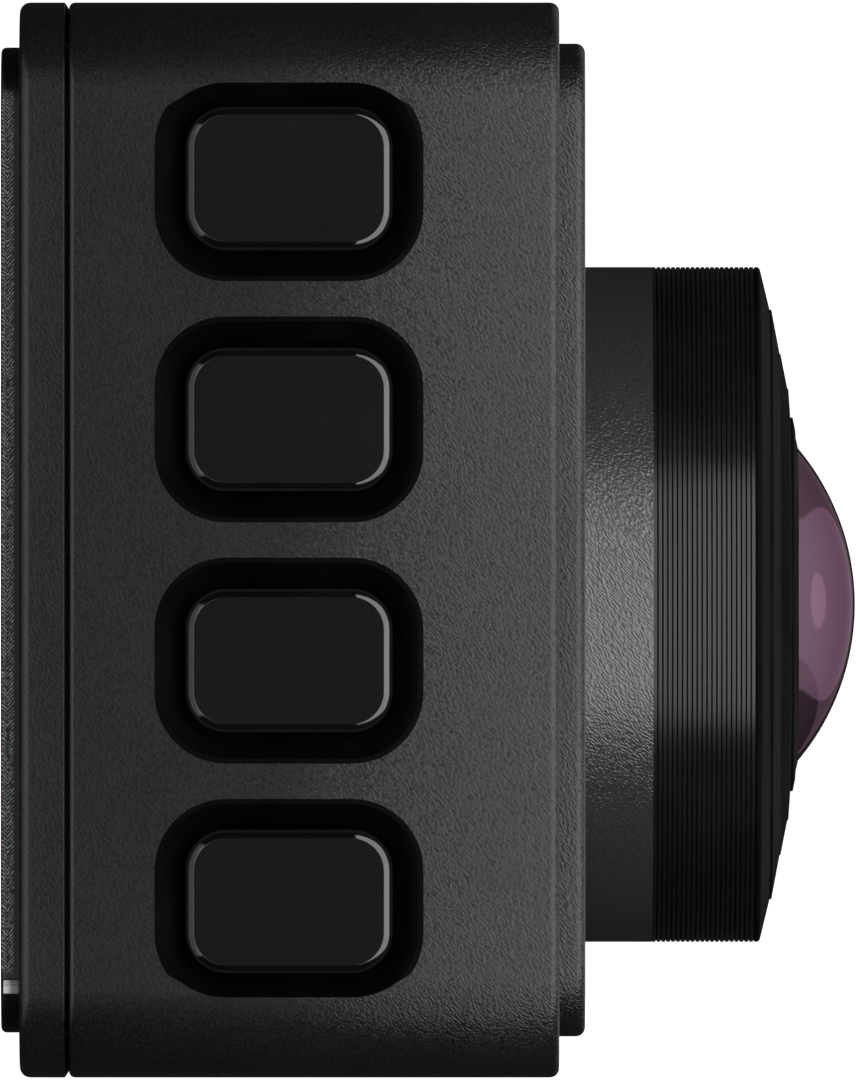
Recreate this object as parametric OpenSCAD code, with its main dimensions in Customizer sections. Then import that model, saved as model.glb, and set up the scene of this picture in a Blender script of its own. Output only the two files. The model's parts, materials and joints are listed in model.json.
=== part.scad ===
// Compact screen camera with four side keys and a wide front lens.
// Front is -Y, up is +Z, and the keys are on the -X side. Millimetres.
// Most pieces are stacked along the depth, so their places are stations: the distance forward
// from the back of the screen bezel. A piece's x and z are the camera's own X and Z.

/* [Body] */
// Width of the body, across the screen
body_w = 56.2; // [56:0.1:60]
// Height of the body
body_h = 40.7; // [40.6:0.1:44]
// Radius of the body's four long corners
body_r = 4.0; // [3.6:0.1:4.4]
// Depth of the rear frame
frame_d = 1.82; // [1.8:0.01:1.9]
// Depth of the front housing
housing_d = 18.6; // [18.6:0.1:20]
// Thickness of the housing's top, bottom and far side walls
wall = 1.5; // [1.4:0.05:1.5]
// Thickness of the wall that holds the keys
key_wall = 2.2; // [2.2:0.05:2.3]
// Thickness of the housing's front wall
front_wall = 1.5; // [1.5:0.05:1.6]
// Rounding of the housing's front edge
front_edge = 0.35; // [0.2:0.05:0.6]
// Rounding of the rear frame's back edge
rear_edge = 0.4; // [0.2:0.05:0.5]
// Rounding of the two edges that meet in the seam groove
seam_edge = 0.15; // [0.05:0.05:0.2]

/* [Screen] */
// How far the bezel stands behind the rear frame
bezel_stand = 0.7; // [0.65:0.05:0.75]
// Margin between the body's outline and the bezel's
bezel_inset = 1.7; // [1.6:0.05:1.8]
// Width of the cover glass
glass_w = 51.2; // [50:0.1:51.2]
// Height of the cover glass
glass_h = 35.7; // [35:0.1:35.7]
// Width of the screen module
lcd_w = 44; // [42:0.5:44]
// Height of the screen module
lcd_h = 32.4; // [31:0.1:32.4]
// Shift of the screen away from the keys
lcd_x = 2; // [1:0.5:2]

/* [Front plate and mount seat] */
// Thickness of the front plate
plate_t = 0.98; // [0.9:0.02:1.2]
// Margin between the body's outline and the front plate's
plate_inset = 1.55; // [1.4:0.05:1.8]
// Radius of the front plate's corners
plate_r = 2.9; // [2.5:0.1:3.5]
// Radius of the round seat for a magnetic mount
seat_r = 9; // [8.6:0.1:9]
// Depth of the seat below the front plate's face
seat_depth = 1.58; // [1.5:0.02:1.6]
// Place of the seat across the width
seat_x = -13.5; // [-13.8:0.1:-13.3]

/* [Lens] */
// Place of the lens axis across the width
lens_x = 12.4; // [12.2:0.1:12.6]
// Drop of the lens axis below the middle of the body
lens_drop = 2.5; // [2:0.01:2.6]
// Radius of the lens boss and of the ribbed ring
lens_r = 13.09; // [12.9:0.01:13.1]
// Length of the plain boss ahead of the front plate
boss_len = 2.74; // [2.6:0.01:2.9]
// Number of ribs on the ring
rib_count = 21; // [18:1:22]
// Distance from one rib to the next
rib_pitch = 0.189; // [0.17:0.001:0.19]
// Depth of the grooves between the ribs
rib_depth = 0.09; // [0.05:0.01:0.1]
// Radius of the front lens's dome
dome_r = 9.43; // [9.3:0.01:9.6]
// Radius of the front lens's clear face
face_r = 6.08; // [6:0.01:6.1]

/* [Keys] */
// Length of a key cap along the depth
key_l = 7.59; // [7:0.01:7.6]
// Height of a key cap
key_h = 5.2; // [4.9:0.01:5.25]
// Radius of a key cap's corners
key_r = 1.43; // [1.2:0.01:1.6]
// Length of the dished recess around a key
dish_l = 10.16; // [10:0.01:10.3]
// Height of the dished recess
dish_h = 7.78; // [7.6:0.01:7.9]
// Radius of the recess's corners
dish_r = 2.7; // [2.4:0.05:2.8]
// Depth of the recess where it meets the key
dish_depth = 1.2; // [0.9:0.05:1.3]
// How far the recess's wall leans in, from its rim to its foot
dish_lean = 1.1; // [0.9:0.05:1.1]
// Distance from one key to the next
key_pitch = 9.11; // [9.1:0.01:9.3]
// Station of the keys' middle
key_s = 10.9; // [10.8:0.05:11]
// Gap around a key cap
key_gap = 0.12; // [0.1:0.01:0.15]
// How far a key face lies below the side face
key_sink = 0.2; // [0.1:0.05:0.4]

/* [Hidden] */
$fn = 96;

// Colours
shell_black = [0.12, 0.12, 0.125];
gloss_black = [0.04, 0.04, 0.045];
ring_black = [0.06, 0.06, 0.065];
metal = [0.65, 0.65, 0.67];
board_green = [0.05, 0.25, 0.12];
chip_black = [0.09, 0.09, 0.09];
ribbon_amber = [0.7, 0.45, 0.15];
lens_tint = [0.7, 0.78, 0.8];

// Stations of the casing and the lens, from the back of the bezel forward
seam_s = bezel_stand + frame_d;
front_s = seam_s + housing_d;
inner_s = front_s - front_wall;
plate_s = front_s + plate_t;
boss_s = plate_s + boss_len;
rib_end_s = boss_s + rib_count * rib_pitch;
face_s = boss_s + 5.65;
dome_s = face_s - sqrt(dome_r * dome_r - face_r * face_r) + dome_r;
total_d = dome_s;

// Middle of the body, the lens axis and the insides of the walls
mid_z = body_h / 2;
lens_z = mid_z - lens_drop;
in_x0 = -body_w / 2 + key_wall;
in_x1 = body_w / 2 - wall;
in_z0 = wall;
in_z1 = body_h - wall;
in_x = (in_x0 + in_x1) / 2;
in_w = in_x1 - in_x0;
in_h = in_z1 - in_z0;

// Clearance around pieces that fit into each other, and an overshoot for cuts
fit_gap = 0.05;
over = 1;

// Bezel, cover glass and their seat in the rear frame
bezel_w = body_w - 2 * bezel_inset;
bezel_h = body_h - 2 * bezel_inset;
bezel_r = 2.6;
neck_inset = 0.25;
glass_s = 0.06;
glass_t = 0.8;
gasket_s = 1.2;
seat_s = 1.35;
clip_z = 3.2;
clip_h = 0.52;
clip_depth = 0.3;

// Steel disc at the foot of the mount seat, and the magnet behind the wall
seat_disc_r = seat_r - 1.5;
seat_disc_t = 0.4;
magnet_r = seat_r - 1;
magnet_t = 2.4;

// Screen module
tray_s = 3.45;
tray_t = 0.3;
panel_t = 1;

// Lip that locates the rear frame in the housing
lip_t = 0.8;
lip_len = 0.75;
lip_r = body_r - wall - 0.1;

// Case screws, at two places above and two below the screen
screw_x = 20;
screw_z = 2.82;
screw_r = 0.7;
screw_len = 7;
screw_head_r = 1.08;
screw_head_t = 0.6;
pad_r = 1.2;
post_r = 1.36;

// Short screws, for the lens carrier and the key bracket
short_r = 0.6;
short_len = 4.6;
short_head_r = 1.1;
short_head_t = 0.5;

// Boards and the frame behind them
board_s = 5.2;
board_t = 1;
board_front = board_s + board_t;
board_x0 = -20.4;
board_x1 = 25.5;
board_z0 = 4.2;
board_z1 = 36.5;
peg_r = 0.65;
pegs = [[-18.6, 34.6], [23.6, 6.4], [-1.6, 6.4]];

// Sensor board and lens carrier
sensor_s = 9.7;
sensor_t = 1;
carrier_s = 10.75;
carrier_t = 1.75;
carrier_w = 24;
carrier_post_in = 10.5;
carrier_post_r = 1.6;
tube_end_s = 18.9;
barrel_r = 8.3;

// Front end of the lens: hole for the boss, and the ledge under the bezel ring and the cone ring
boss_hole_r = 11.5;
boss_r = boss_hole_r - 0.1;
sleeve_r = 10.9;
bore_r = 9.9;
ledge_s = face_s - 1.4;
cone_in_r = 7.3;
cone_out_r = 11.44;

// Keys: places across the width, from the face inward
key_x = -body_w / 2 + key_sink;
flange_x = in_x0 + fit_gap;
flange_t = 0.5;
flange_edge = 0.55;
mat_x = -24.85;
mat_t = 0.4;
switch_x = -23.9;
switch_t = 1.5;
switch_w = 4.5;
plunger_r = 0.75;
plunger_out = 0.5;
plunger_in = 0.9;
stem_r = 0.9;
stem_len = switch_x - plunger_out - flange_x - flange_t;
key_board_x = switch_x + switch_t;
key_board_t = 0.8;
bracket_x = key_board_x + key_board_t;
bracket_t = 0.75;
key_zone = 8.8;
side_post_r = 1.2;

// Data port, memory card and its slot
port_z = 31.5;
port_s = board_front + 1.15;
port_x = body_w / 2 - 0.5;
port_len = 7.6;
port_t = 3.2;
port_w = 8.94;
card_x = -10;
card_s = 4.4;
card_w = 11;
card_t = 0.9;
card_len = 15;
card_sink = 0.4;
slot_w = 11.6;
slot_t = 1.1;
socket_half = 7;
socket_top = 16.6;

// Battery pouch
battery_w = 18;
battery_h = 24;
battery_t = 4.8;

// Speaker and microphone
speaker_x = -10.5;
speaker_s = 14.4;
speaker_hole_r = 0.5;
speaker_hole_pitch = 2;
speaker_half = 7;
speaker_well_r = 3.6;
mic_x = -1;
mic_z = 34;
mic_r = 0.4;

// Boxes of the inner parts, as low and high corners in [x, z, station]
processor_box = [[7, 12, board_front], [19, 24, board_front + 1.2]];
shield_box = [[4, 9, board_front], [22, 27, board_front + 1.8]];
chip_boxes = [
    [[-19, 5, board_front], [-14, 9, board_front + 0.9]],
    [[-12, 4.6, board_front], [-4, 9, board_front + 1]],
    [[-0.5, 10, board_front], [3, 22, board_front + 0.8]],
    [[2, 29, board_front], [14, 35, board_front + 1]]
];
socket_box = [
    [card_x - socket_half, in_z0 + 0.1, 3.65],
    [card_x + socket_half, socket_top, board_s - fit_gap]
];
card_box = [
    [card_x - card_w / 2, card_sink, card_s - card_t / 2],
    [card_x + card_w / 2, card_sink + card_len, card_s + card_t / 2]
];
satellite_box = [[-17, 34.6, 7.2], [-5, 38.6, 19.2]];
radio_box = [[2, in_z1 - 0.2, 8], [17, in_z1, 14]];
speaker_box = [
    [speaker_x - speaker_half, in_z0 + 0.1, speaker_s - 4.5],
    [speaker_x + speaker_half, 4.9, speaker_s + 4.5]
];
mic_box = [
    [mic_x - 1.75, mic_z - 1.4, inner_s - 1.1],
    [mic_x + 1.75, mic_z + 1.4, inner_s]
];

// Height of a key's middle, the top key first
function key_z(i) = mid_z + (1.5 - i) * key_pitch;

// ---- placing ----

// Draws in the X-Z plane and grows forward from station s
module at_station(s) {
    translate([0, total_d / 2 - s, 0])
        rotate([90, 0, 0])
            children();
}

// Draws in the depth-height plane and grows out of the key side, from x at station s
module on_side(x, s, z) {
    translate([x, total_d / 2 - s, z])
        rotate([90, 0, -90])
            children();
}

// As on_side, but grows the other way, into the body
module into_side(x, s, z) {
    on_side(x, s, z)
        mirror([0, 0, 1])
            children();
}

// Draws about the lens axis and grows forward from station s
module on_lens(s) {
    at_station(s)
        translate([lens_x, lens_z, 0])
            children();
}

// Draws at the four case screws, from station s
module at_case_screws(s) {
    for (x = [-screw_x, screw_x], z = [screw_z, body_h - screw_z])
        at_station(s)
            translate([x, z, 0])
                children();
}

// Draws at the lens carrier's four posts, from station s
module at_carrier_posts(s) {
    for (x = [-1, 1], z = [-1, 1])
        on_lens(s)
            translate([x * carrier_post_in, z * carrier_post_in, 0])
                children();
}

// Draws at the two posts between the keys, growing into the body from x
module at_side_posts(x) {
    for (z = [mid_z - key_pitch, mid_z + key_pitch])
        into_side(x, key_s, z)
            children();
}

// Draws at the inner frame's pegs, from station s
module at_pegs(s) {
    for (p = pegs)
        at_station(s)
            translate([p[0], p[1], 0])
                children();
}

// ---- shapes ----

// A box between two corners, given as [x, z, station], grown by gap all round
module block(corners, gap = 0) {
    low = corners[0];
    size = corners[1] - low;
    at_station(low[2] - gap)
        translate([low[0] - gap, low[1] - gap, 0])
            cube([size[0] + 2 * gap, size[1] + 2 * gap, size[2] + 2 * gap]);
}

// A round pin along the depth, from station s0 to s1
module pin(x, z, r, s0, s1) {
    at_station(s0)
        translate([x, z, 0])
            cylinder(r = r, h = s1 - s0);
}

// A rectangle with round corners, centred
module outline(w, h, r) {
    square([w - 2 * r, h], center = true);
    square([w, h - 2 * r], center = true);
    for (x = [-1, 1], y = [-1, 1])
        translate([x * (w / 2 - r), y * (h / 2 - r)])
            circle(r);
}

// A flat plate with such an outline, about the body's middle, between two stations
module plate(w, h, r, s0, s1, x = 0) {
    at_station(s0)
        translate([x, mid_z, 0])
            linear_extrude(s1 - s0)
                outline(w, h, r);
}

// What is cut off a corner at the origin to round it by e
module corner_cut(e) {
    difference() {
        translate([-e, -over])
            square([e + over, e + over]);
        translate([-e, e])
            circle(e);
    }
}

// Half section of a slab, r wide and t thick: its outer edge is rounded by e0 below and e1 above
module edge_section(r, t, e0, e1) {
    difference() {
        square([r, t]);
        if (e0 > 0)
            translate([r, 0])
                corner_cut(e0);
        if (e1 > 0)
            translate([r, t])
                mirror([0, 1])
                    corner_cut(e1);
    }
}

// A slab with round corners and rounded edges, centred in X and Y, standing on z = 0
module slab(w, h, t, r, e0, e1) {
    flat_w = w - 2 * r;
    flat_h = h - 2 * r;
    translate([-flat_w / 2, -flat_h / 2, 0])
        cube([flat_w, flat_h, t]);
    for (x = [-1, 1], y = [-1, 1])
        translate([x * flat_w / 2, y * flat_h / 2, 0])
            rotate_extrude()
                edge_section(r, t, e0, e1);
    for (m = [0, 1]) {
        mirror([m, 0, 0])
            translate([flat_w / 2, flat_h / 2, 0])
                rotate([90, 0, 0])
                    linear_extrude(flat_h)
                        edge_section(r, t, e0, e1);
        mirror([0, m, 0])
            translate([-flat_w / 2, flat_h / 2, 0])
                rotate([90, 0, 90])
                    linear_extrude(flat_w)
                        edge_section(r, t, e0, e1);
    }
}

// A ring about the lens axis between two radii, from station s
module ring(r_in, r_out, s, t) {
    on_lens(s)
        rotate_extrude()
            translate([r_in, 0])
                square([r_out - r_in, t]);
}

// A ring about the lens axis, turned from an outline of [radius, station] points
module turned(points) {
    on_lens(0)
        rotate_extrude()
            polygon(points);
}

// A ball on the lens axis, which gives a lens its round face
module ball(r, s) {
    on_lens(s)
        sphere(r);
}

// A lens blank of radius r between two stations, bounded by the children
module lens_blank(r, s0, s1) {
    intersection() {
        on_lens(s0)
            cylinder(r = r, h = s1 - s0);
        children();
    }
}

// A small screw standing on z = 0, its head above and its shank below, with a six-sided socket
module screw(r, len, head_r, head_t) {
    difference() {
        union() {
            cylinder(r = head_r, h = head_t);
            translate([0, 0, -len])
                cylinder(r = r, h = len + head_t / 2);
        }
        translate([0, 0, head_t / 3])
            cylinder(r = head_r / 2, h = head_t, $fn = 6);
    }
}

// ---- casing ----

// Section across a dish: its floor is half_w each side of the middle, and its walls lean out
module dish_section(half_w, rise, grow) {
    polygon([[-half_w, 0], [half_w, 0], [half_w + grow, rise], [-half_w - grow, rise]]);
}

// A dish with round corners and walls of one slope, its floor on z = 0 and its rim at z = depth
module dish(w, h, r, lean, depth) {
    flat_w = w - 2 * r;
    flat_h = h - 2 * r;
    floor_r = r - lean;
    rise = depth + 0.3;
    grow = lean * rise / depth;
    for (x = [-1, 1], y = [-1, 1])
        translate([x * flat_w / 2, y * flat_h / 2, 0])
            cylinder(r1 = floor_r, r2 = floor_r + grow, h = rise);
    rotate([90, 0, 90])
        linear_extrude(flat_w, center = true)
            dish_section(flat_h / 2 + floor_r, rise, grow);
    rotate([90, 0, 0])
        linear_extrude(flat_h, center = true)
            dish_section(flat_w / 2 + floor_r, rise, grow);
}

// One dished recess, from the side face down to the key's window
module key_recess(z) {
    on_side(-body_w / 2, key_s, z) {
        translate([0, 0, -dish_depth])
            dish(dish_l, dish_h, dish_r, dish_lean, dish_depth);
        translate([0, 0, -key_wall - over])
            linear_extrude(key_wall + over - dish_depth / 2)
                outline(key_l + 2 * key_gap, key_h + 2 * key_gap, key_r + key_gap);
    }
}

// Walls of the housing, open at the back
module housing_shell() {
    difference() {
        at_station(seam_s)
            translate([0, mid_z, 0])
                slab(body_w, body_h, housing_d, body_r, seam_edge, front_edge);
        plate(in_w, in_h, body_r - wall, seam_s - over, inner_s, in_x);
    }
}

// Posts for the case screws, the lens carrier and the key bracket
module housing_posts() {
    carrier_front = carrier_s + carrier_t;
    at_case_screws(tray_s + fit_gap)
        cylinder(r = post_r, h = inner_s - tray_s);
    at_carrier_posts(carrier_front)
        cylinder(r = carrier_post_r, h = inner_s - carrier_front + fit_gap);
    at_side_posts(in_x0 - fit_gap)
        cylinder(r = side_post_r, h = key_board_x - in_x0);
}

// Slot of the memory card through the bottom, port opening through the far side, speaker holes
module housing_openings() {
    block([[card_x - slot_w / 2, -over, card_s - slot_t / 2],
           [card_x + slot_w / 2, in_z0 + over, card_s + slot_t / 2]]);
    into_side(in_x1 - over, port_s, port_z)
        linear_extrude(wall + 2 * over)
            outline(port_t + 2 * fit_gap, port_w + 2 * fit_gap, port_t / 2);
    for (i = [-2:2])
        translate([speaker_x + i * speaker_hole_pitch, total_d / 2 - speaker_s, -over])
            cylinder(r = speaker_hole_r, h = wall + 2 * over);
}

// Holes through the front wall: lens, microphone and the mount seat with its disc
module front_openings(s0) {
    on_lens(s0 - over)
        cylinder(r = boss_hole_r, h = plate_s - s0 + 2 * over);
    pin(mic_x, mic_z, mic_r, s0 - over, plate_s + over);
    pin(seat_x, mid_z, seat_r, plate_s - seat_depth, plate_s + over);
}

module front_housing() {
    color(shell_black)
        difference() {
            union() {
                housing_shell();
                housing_posts();
            }
            for (i = [0:3])
                key_recess(key_z(i));
            front_openings(inner_s);
            seat_disc_shape(fit_gap);
            housing_openings();
            at_case_screws(tray_s)
                cylinder(r = screw_r + fit_gap / 2, h = screw_len);
            at_carrier_posts(carrier_s)
                cylinder(r = short_r + fit_gap / 2, h = short_len);
            at_side_posts(in_x0)
                cylinder(r = short_r + fit_gap / 2, h = short_len);
        }
}

// Slab of the frame, with the lip that fits into the housing
module frame_shell() {
    at_station(bezel_stand)
        translate([0, mid_z, 0])
            slab(body_w, body_h, frame_d, body_r, rear_edge, seam_edge);
    difference() {
        plate(in_w - 2 * fit_gap, in_h - 2 * fit_gap, lip_r, seam_s - fit_gap, seam_s + lip_len, in_x);
        difference() {
            plate(in_w - 2 * lip_t, in_h - 2 * lip_t, lip_r - lip_t, seam_s, seam_s + over, in_x);
            at_case_screws(0)
                cylinder(r = pad_r, h = board_s);
        }
    }
}

module rear_frame() {
    color(shell_black)
        difference() {
            frame_shell();
            plate(bezel_w - 2 * neck_inset + 2 * fit_gap, bezel_h - 2 * neck_inset + 2 * fit_gap,
                  bezel_r - neck_inset, 0, seat_s);
            screen_layer(fit_gap * 2, 0, tray_s + over);
            at_case_screws(0)
                cylinder(r = screw_head_r + fit_gap / 2, h = seat_s + screw_head_t);
            at_case_screws(0)
                cylinder(r = screw_r + fit_gap / 2, h = board_s);
        }
}

// Shape of the small metal clip in the bezel's side, grown by gap where it meets the bezel
module clip_shape(gap) {
    x0 = -bezel_w / 2 - 0.04;
    block([[x0 - gap, clip_z - gap, 0.1 - gap],
           [-bezel_w / 2 + clip_depth + gap, clip_z + clip_h + gap, bezel_stand - 0.04 + gap]]);
}

module bezel_clip() {
    color(metal)
        clip_shape(0);
}

module display_bezel() {
    color(ring_black)
        difference() {
            union() {
                at_station(0)
                    translate([0, mid_z, 0])
                        slab(bezel_w, bezel_h, bezel_stand, bezel_r, 0.2, 0);
                plate(bezel_w - 2 * neck_inset, bezel_h - 2 * neck_inset, bezel_r - neck_inset,
                      bezel_stand / 2, gasket_s);
            }
            plate(glass_w + 2 * fit_gap, glass_h + 2 * fit_gap, 1.6, -over, glass_s + glass_t);
            screen_layer(-1, 0, seat_s);
            clip_shape(fit_gap / 2);
        }
}

module display_glass() {
    color([0.03, 0.03, 0.04])
        at_station(glass_s)
            translate([0, mid_z, 0])
                slab(glass_w, glass_h, glass_t, 1.55, 0.12, 0);
}

// Four strips of foam tape between the bezel and the rear frame, beside the screen's opening
module display_gasket() {
    color([0.15, 0.15, 0.15])
        difference() {
            plate(bezel_w - 1.6, bezel_h - 1.6, bezel_r - 0.8, gasket_s, seat_s);
            screen_layer(0.3, 0, seat_s + over);
            at_case_screws(0)
                cylinder(r = screw_head_r + 0.1, h = seat_s + over);
        }
}

module front_plate() {
    color(shell_black)
        difference() {
            at_station(front_s)
                translate([0, mid_z, 0])
                    slab(
                        body_w - 2 * plate_inset, body_h - 2 * plate_inset, plate_t, plate_r, 0, front_edge
                    );
            front_openings(front_s);
        }
}

// Steel disc at the foot of the mount seat, grown by gap around its rim
module seat_disc_shape(gap) {
    foot = plate_s - seat_depth;
    pin(seat_x, mid_z, seat_disc_r + gap, foot - seat_disc_t, foot);
}

module seat_disc() {
    color(metal)
        seat_disc_shape(0);
}

module seat_magnet() {
    color([0.7, 0.7, 0.72])
        pin(seat_x, mid_z, magnet_r, inner_s - magnet_t, inner_s);
}

module case_screws() {
    color(metal)
        at_case_screws(seat_s + screw_head_t)
            mirror([0, 0, 1])
                screw(screw_r, screw_len, screw_head_r, screw_head_t);
}

module short_screws() {
    color(metal) {
        at_carrier_posts(sensor_s)
            mirror([0, 0, 1])
                screw(short_r, short_len, short_head_r, short_head_t);
        at_side_posts(bracket_x + bracket_t)
            screw(short_r, short_len, short_head_r, short_head_t);
    }
}

// ---- screen ----

// A layer of the screen module, grown by gap at its edges
module screen_layer(gap, s0, s1) {
    block([[lcd_x - lcd_w / 2 - gap, mid_z - lcd_h / 2 - gap, s0],
           [lcd_x + lcd_w / 2 + gap, mid_z + lcd_h / 2 + gap, s1]]);
}

module lcd_panel() {
    color([0.1, 0.1, 0.14])
        screen_layer(-tray_t - fit_gap, seat_s, seat_s + panel_t);
}

module backlight() {
    color([0.85, 0.85, 0.82])
        screen_layer(-tray_t - fit_gap, seat_s + panel_t + fit_gap, tray_s - tray_t);
}

module lcd_tray() {
    color(metal)
        difference() {
            screen_layer(0, seat_s, tray_s);
            screen_layer(-tray_t, 0, tray_s - tray_t);
        }
}

// Plastic frame between the screen module and the main board, with pegs that hold the board
module inner_frame() {
    color([0.2, 0.2, 0.22]) {
        difference() {
            block([[board_x0, board_z0, tray_s + fit_gap], [board_x1, board_z1, board_s - fit_gap]]);
            block([
                [card_x - socket_half - 0.3, 0, 0],
                [card_x + socket_half + 0.3, socket_top + 0.4, board_s]
            ]);
            block([[0, 9, 0], [21, 32, board_s]]);
        }
        at_pegs(board_s - 4 * fit_gap)
            cylinder(r = peg_r, h = board_t + 0.6);
    }
}

// ---- boards ----

module main_board() {
    color(board_green)
        difference() {
            block([[board_x0, board_z0, board_s], [board_x1, board_z1, board_front]]);
            at_pegs(board_s - over)
                cylinder(r = peg_r + fit_gap, h = board_t + 2 * over);
            block([[port_x - port_len - 0.1, port_z - port_w / 2 - 0.1, 0],
                   [board_x1 + over, port_z + port_w / 2 + 0.1, board_front + over]]);
        }
}

module processor() {
    color(chip_black)
        block(processor_box);
}

// Thin can over the processor, open towards the board
module shield_can() {
    color(metal)
        difference() {
            block(shield_box);
            translate([0, over, 0])
                block(shield_box, -0.25);
            block(shield_box, -0.25);
        }
}

module board_chips() {
    color(chip_black)
        for (corners = chip_boxes)
            block(corners);
}

module port_shell() {
    color(metal)
        difference() {
            into_side(port_x - port_len, port_s, port_z)
                linear_extrude(port_len)
                    outline(port_t, port_w, 1.55);
            into_side(port_x - port_len + 0.6, port_s, port_z)
                linear_extrude(port_len)
                    outline(port_t - 0.6, port_w - 0.6, 1.25);
        }
}

module port_tongue() {
    color(chip_black)
        block([[port_x - port_len + 0.6, port_z - 3.3, port_s - 0.35],
               [port_x - 1.2, port_z + 3.3, port_s + 0.35]]);
}

module card_socket() {
    color(metal)
        difference() {
            block(socket_box);
            block([[card_x - 5.65, 0, card_s - 0.52], [card_x + 5.65, 16, card_s + 0.52]]);
        }
}

// Card with the usual notch in one long edge
module memory_card() {
    color([0.12, 0.12, 0.14])
        difference() {
            block(card_box);
            block([[card_x + 4.3, 9.4, 0], [card_x + card_w, 17, board_s]]);
        }
}

module battery_cell() {
    color([0.55, 0.6, 0.66])
        at_station(board_front + 1.1)
            translate([-11, 21.5, 0])
                slab(battery_w, battery_h, battery_t, 1.2, 0.6, 0.6);
}

module satellite_antenna() {
    color([0.8, 0.72, 0.6])
        block(satellite_box);
}

module radio_antenna() {
    color(ribbon_amber)
        block(radio_box);
}

module speaker() {
    color(chip_black)
        difference() {
            block(speaker_box);
            translate([speaker_x, total_d / 2 - speaker_s, in_z0])
                cylinder(r = speaker_well_r, h = 1);
        }
}

module microphone() {
    color(metal)
        difference() {
            block(mic_box);
            pin(mic_x, mic_z, mic_r, inner_s - 0.5, inner_s + over);
        }
}

// ---- ribbons ----

module screen_ribbon() {
    color(ribbon_amber) {
        block([[0, 36.6, 2.6], [12, 36.75, 7.4]]);
        block([[0, 34.5, 7.25], [12, 36.75, 7.4]]);
    }
}

module sensor_ribbon() {
    color(ribbon_amber) {
        block([[-0.2, 12, 7.05], [-0.05, 20, sensor_s - 0.05]]);
        block([[-0.2, 12, sensor_s - 0.2], [2.5, 20, sensor_s - 0.05]]);
    }
}

module key_ribbon() {
    color(ribbon_amber) {
        block([[-20.35, 14, board_front + fit_gap], [-20.2, 22, 16]]);
        block([[-22.4, 14, 15.85], [-20.2, 22, 16]]);
        block([[-22.4, 14, 15.4], [-22.25, 22, 16]]);
    }
}

// ---- keys ----

// Cap with a flange that keeps it in and a stem that reaches its switch
module key_cap(i) {
    color(gloss_black)
        on_side(flange_x, key_s, key_z(i)) {
            slab(key_l, key_h, flange_x - key_x, key_r, 0, 0.2);
            translate([0, 0, -flange_t])
                linear_extrude(flange_t)
                    outline(key_l + 2 * flange_edge, key_h + 2 * flange_edge, key_r + flange_edge);
            translate([0, 0, -flange_t - stem_len])
                cylinder(r = stem_r, h = stem_len);
        }
}

module plunger(i) {
    color([0.6, 0.15, 0.12])
        into_side(switch_x - plunger_out, key_s, key_z(i))
            cylinder(r = plunger_r, h = plunger_out + plunger_in);
}

module key_top() { key_cap(0); }
module key_upper() { key_cap(1); }
module key_lower() { key_cap(2); }
module key_bottom() { key_cap(3); }
module plunger_top() { plunger(0); }
module plunger_upper() { plunger(1); }
module plunger_lower() { plunger(2); }
module plunger_bottom() { plunger(3); }

module switch_bodies() {
    color(chip_black)
        for (i = [0:3])
            into_side(switch_x, key_s, key_z(i))
                difference() {
                    translate([-switch_w / 2, -switch_w / 2, 0])
                        cube([switch_w, switch_w, switch_t]);
                    translate([0, 0, -over])
                        cylinder(r = plunger_r + fit_gap, h = plunger_in + 0.4 + over);
                }
}

// A sheet along the key side, t thick from x inward, with holes for the side posts or screws
module key_sheet(x, t, hole_r) {
    difference() {
        into_side(x, key_s, (board_z0 + board_z1) / 2)
            linear_extrude(t)
                square([key_zone, board_z1 - board_z0], center = true);
        at_side_posts(x - over)
            cylinder(r = hole_r, h = t + 2 * over);
    }
}

module key_mat() {
    color([0.2, 0.2, 0.2])
        difference() {
            key_sheet(mat_x, mat_t, side_post_r + 0.1);
            for (i = [0:3])
                into_side(mat_x - over, key_s, key_z(i))
                    cylinder(r = stem_r + 0.2, h = mat_t + 2 * over);
        }
}

module key_board() {
    color(board_green)
        key_sheet(key_board_x, key_board_t, short_r + fit_gap);
}

module key_bracket() {
    color(metal)
        key_sheet(bracket_x, bracket_t, short_r + fit_gap);
}

// ---- lens, from the front back to the sensor ----

module lens_boss() {
    back_s = inner_s - 0.6;
    ring_s = boss_s + 3.6;
    color(shell_black)
        turned([
            [bore_r, back_s], [boss_r, back_s], [boss_r, plate_s], [lens_r, plate_s],
            [lens_r, boss_s], [sleeve_r, boss_s], [sleeve_r, ring_s], [bore_r, ring_s]
        ]);
}

// Ring with a flat crest and a groove in each pitch
module grip_ring() {
    crest = rib_pitch * 0.4;
    groove_s = (crest + rib_pitch) / 2;
    color(ring_black)
        on_lens(boss_s)
            rotate_extrude()
                difference() {
                    translate([sleeve_r + fit_gap, 0])
                        square([lens_r - sleeve_r - fit_gap, rib_count * rib_pitch]);
                    for (i = [0:rib_count - 1])
                        translate([lens_r, i * rib_pitch])
                            polygon([
                                [1, crest], [0, crest], [-rib_depth, groove_s],
                                [0, rib_pitch], [1, rib_pitch]
                            ]);
                }
}

// Outer wedge of the cone, over the grip ring
module bezel_ring() {
    color(ring_black)
        turned([
            [bore_r + 0.1, rib_end_s], [lens_r, rib_end_s], [lens_r, face_s - 1.55],
            [lens_r - 0.08, face_s - 1.47], [cone_out_r + 0.04, face_s - 1.1],
            [cone_out_r + 0.04, ledge_s], [bore_r + 0.1, ledge_s]
        ]);
}

// Sloping ring around the front lens
module cone_ring() {
    color(ring_black)
        turned([
            [cone_in_r, ledge_s + fit_gap], [cone_out_r, ledge_s + fit_gap], [cone_out_r, face_s - 1.02],
            [9.31, face_s - 0.62], [7.99, face_s - 0.31], [cone_in_r, face_s - 0.29]
        ]);
}

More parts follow.
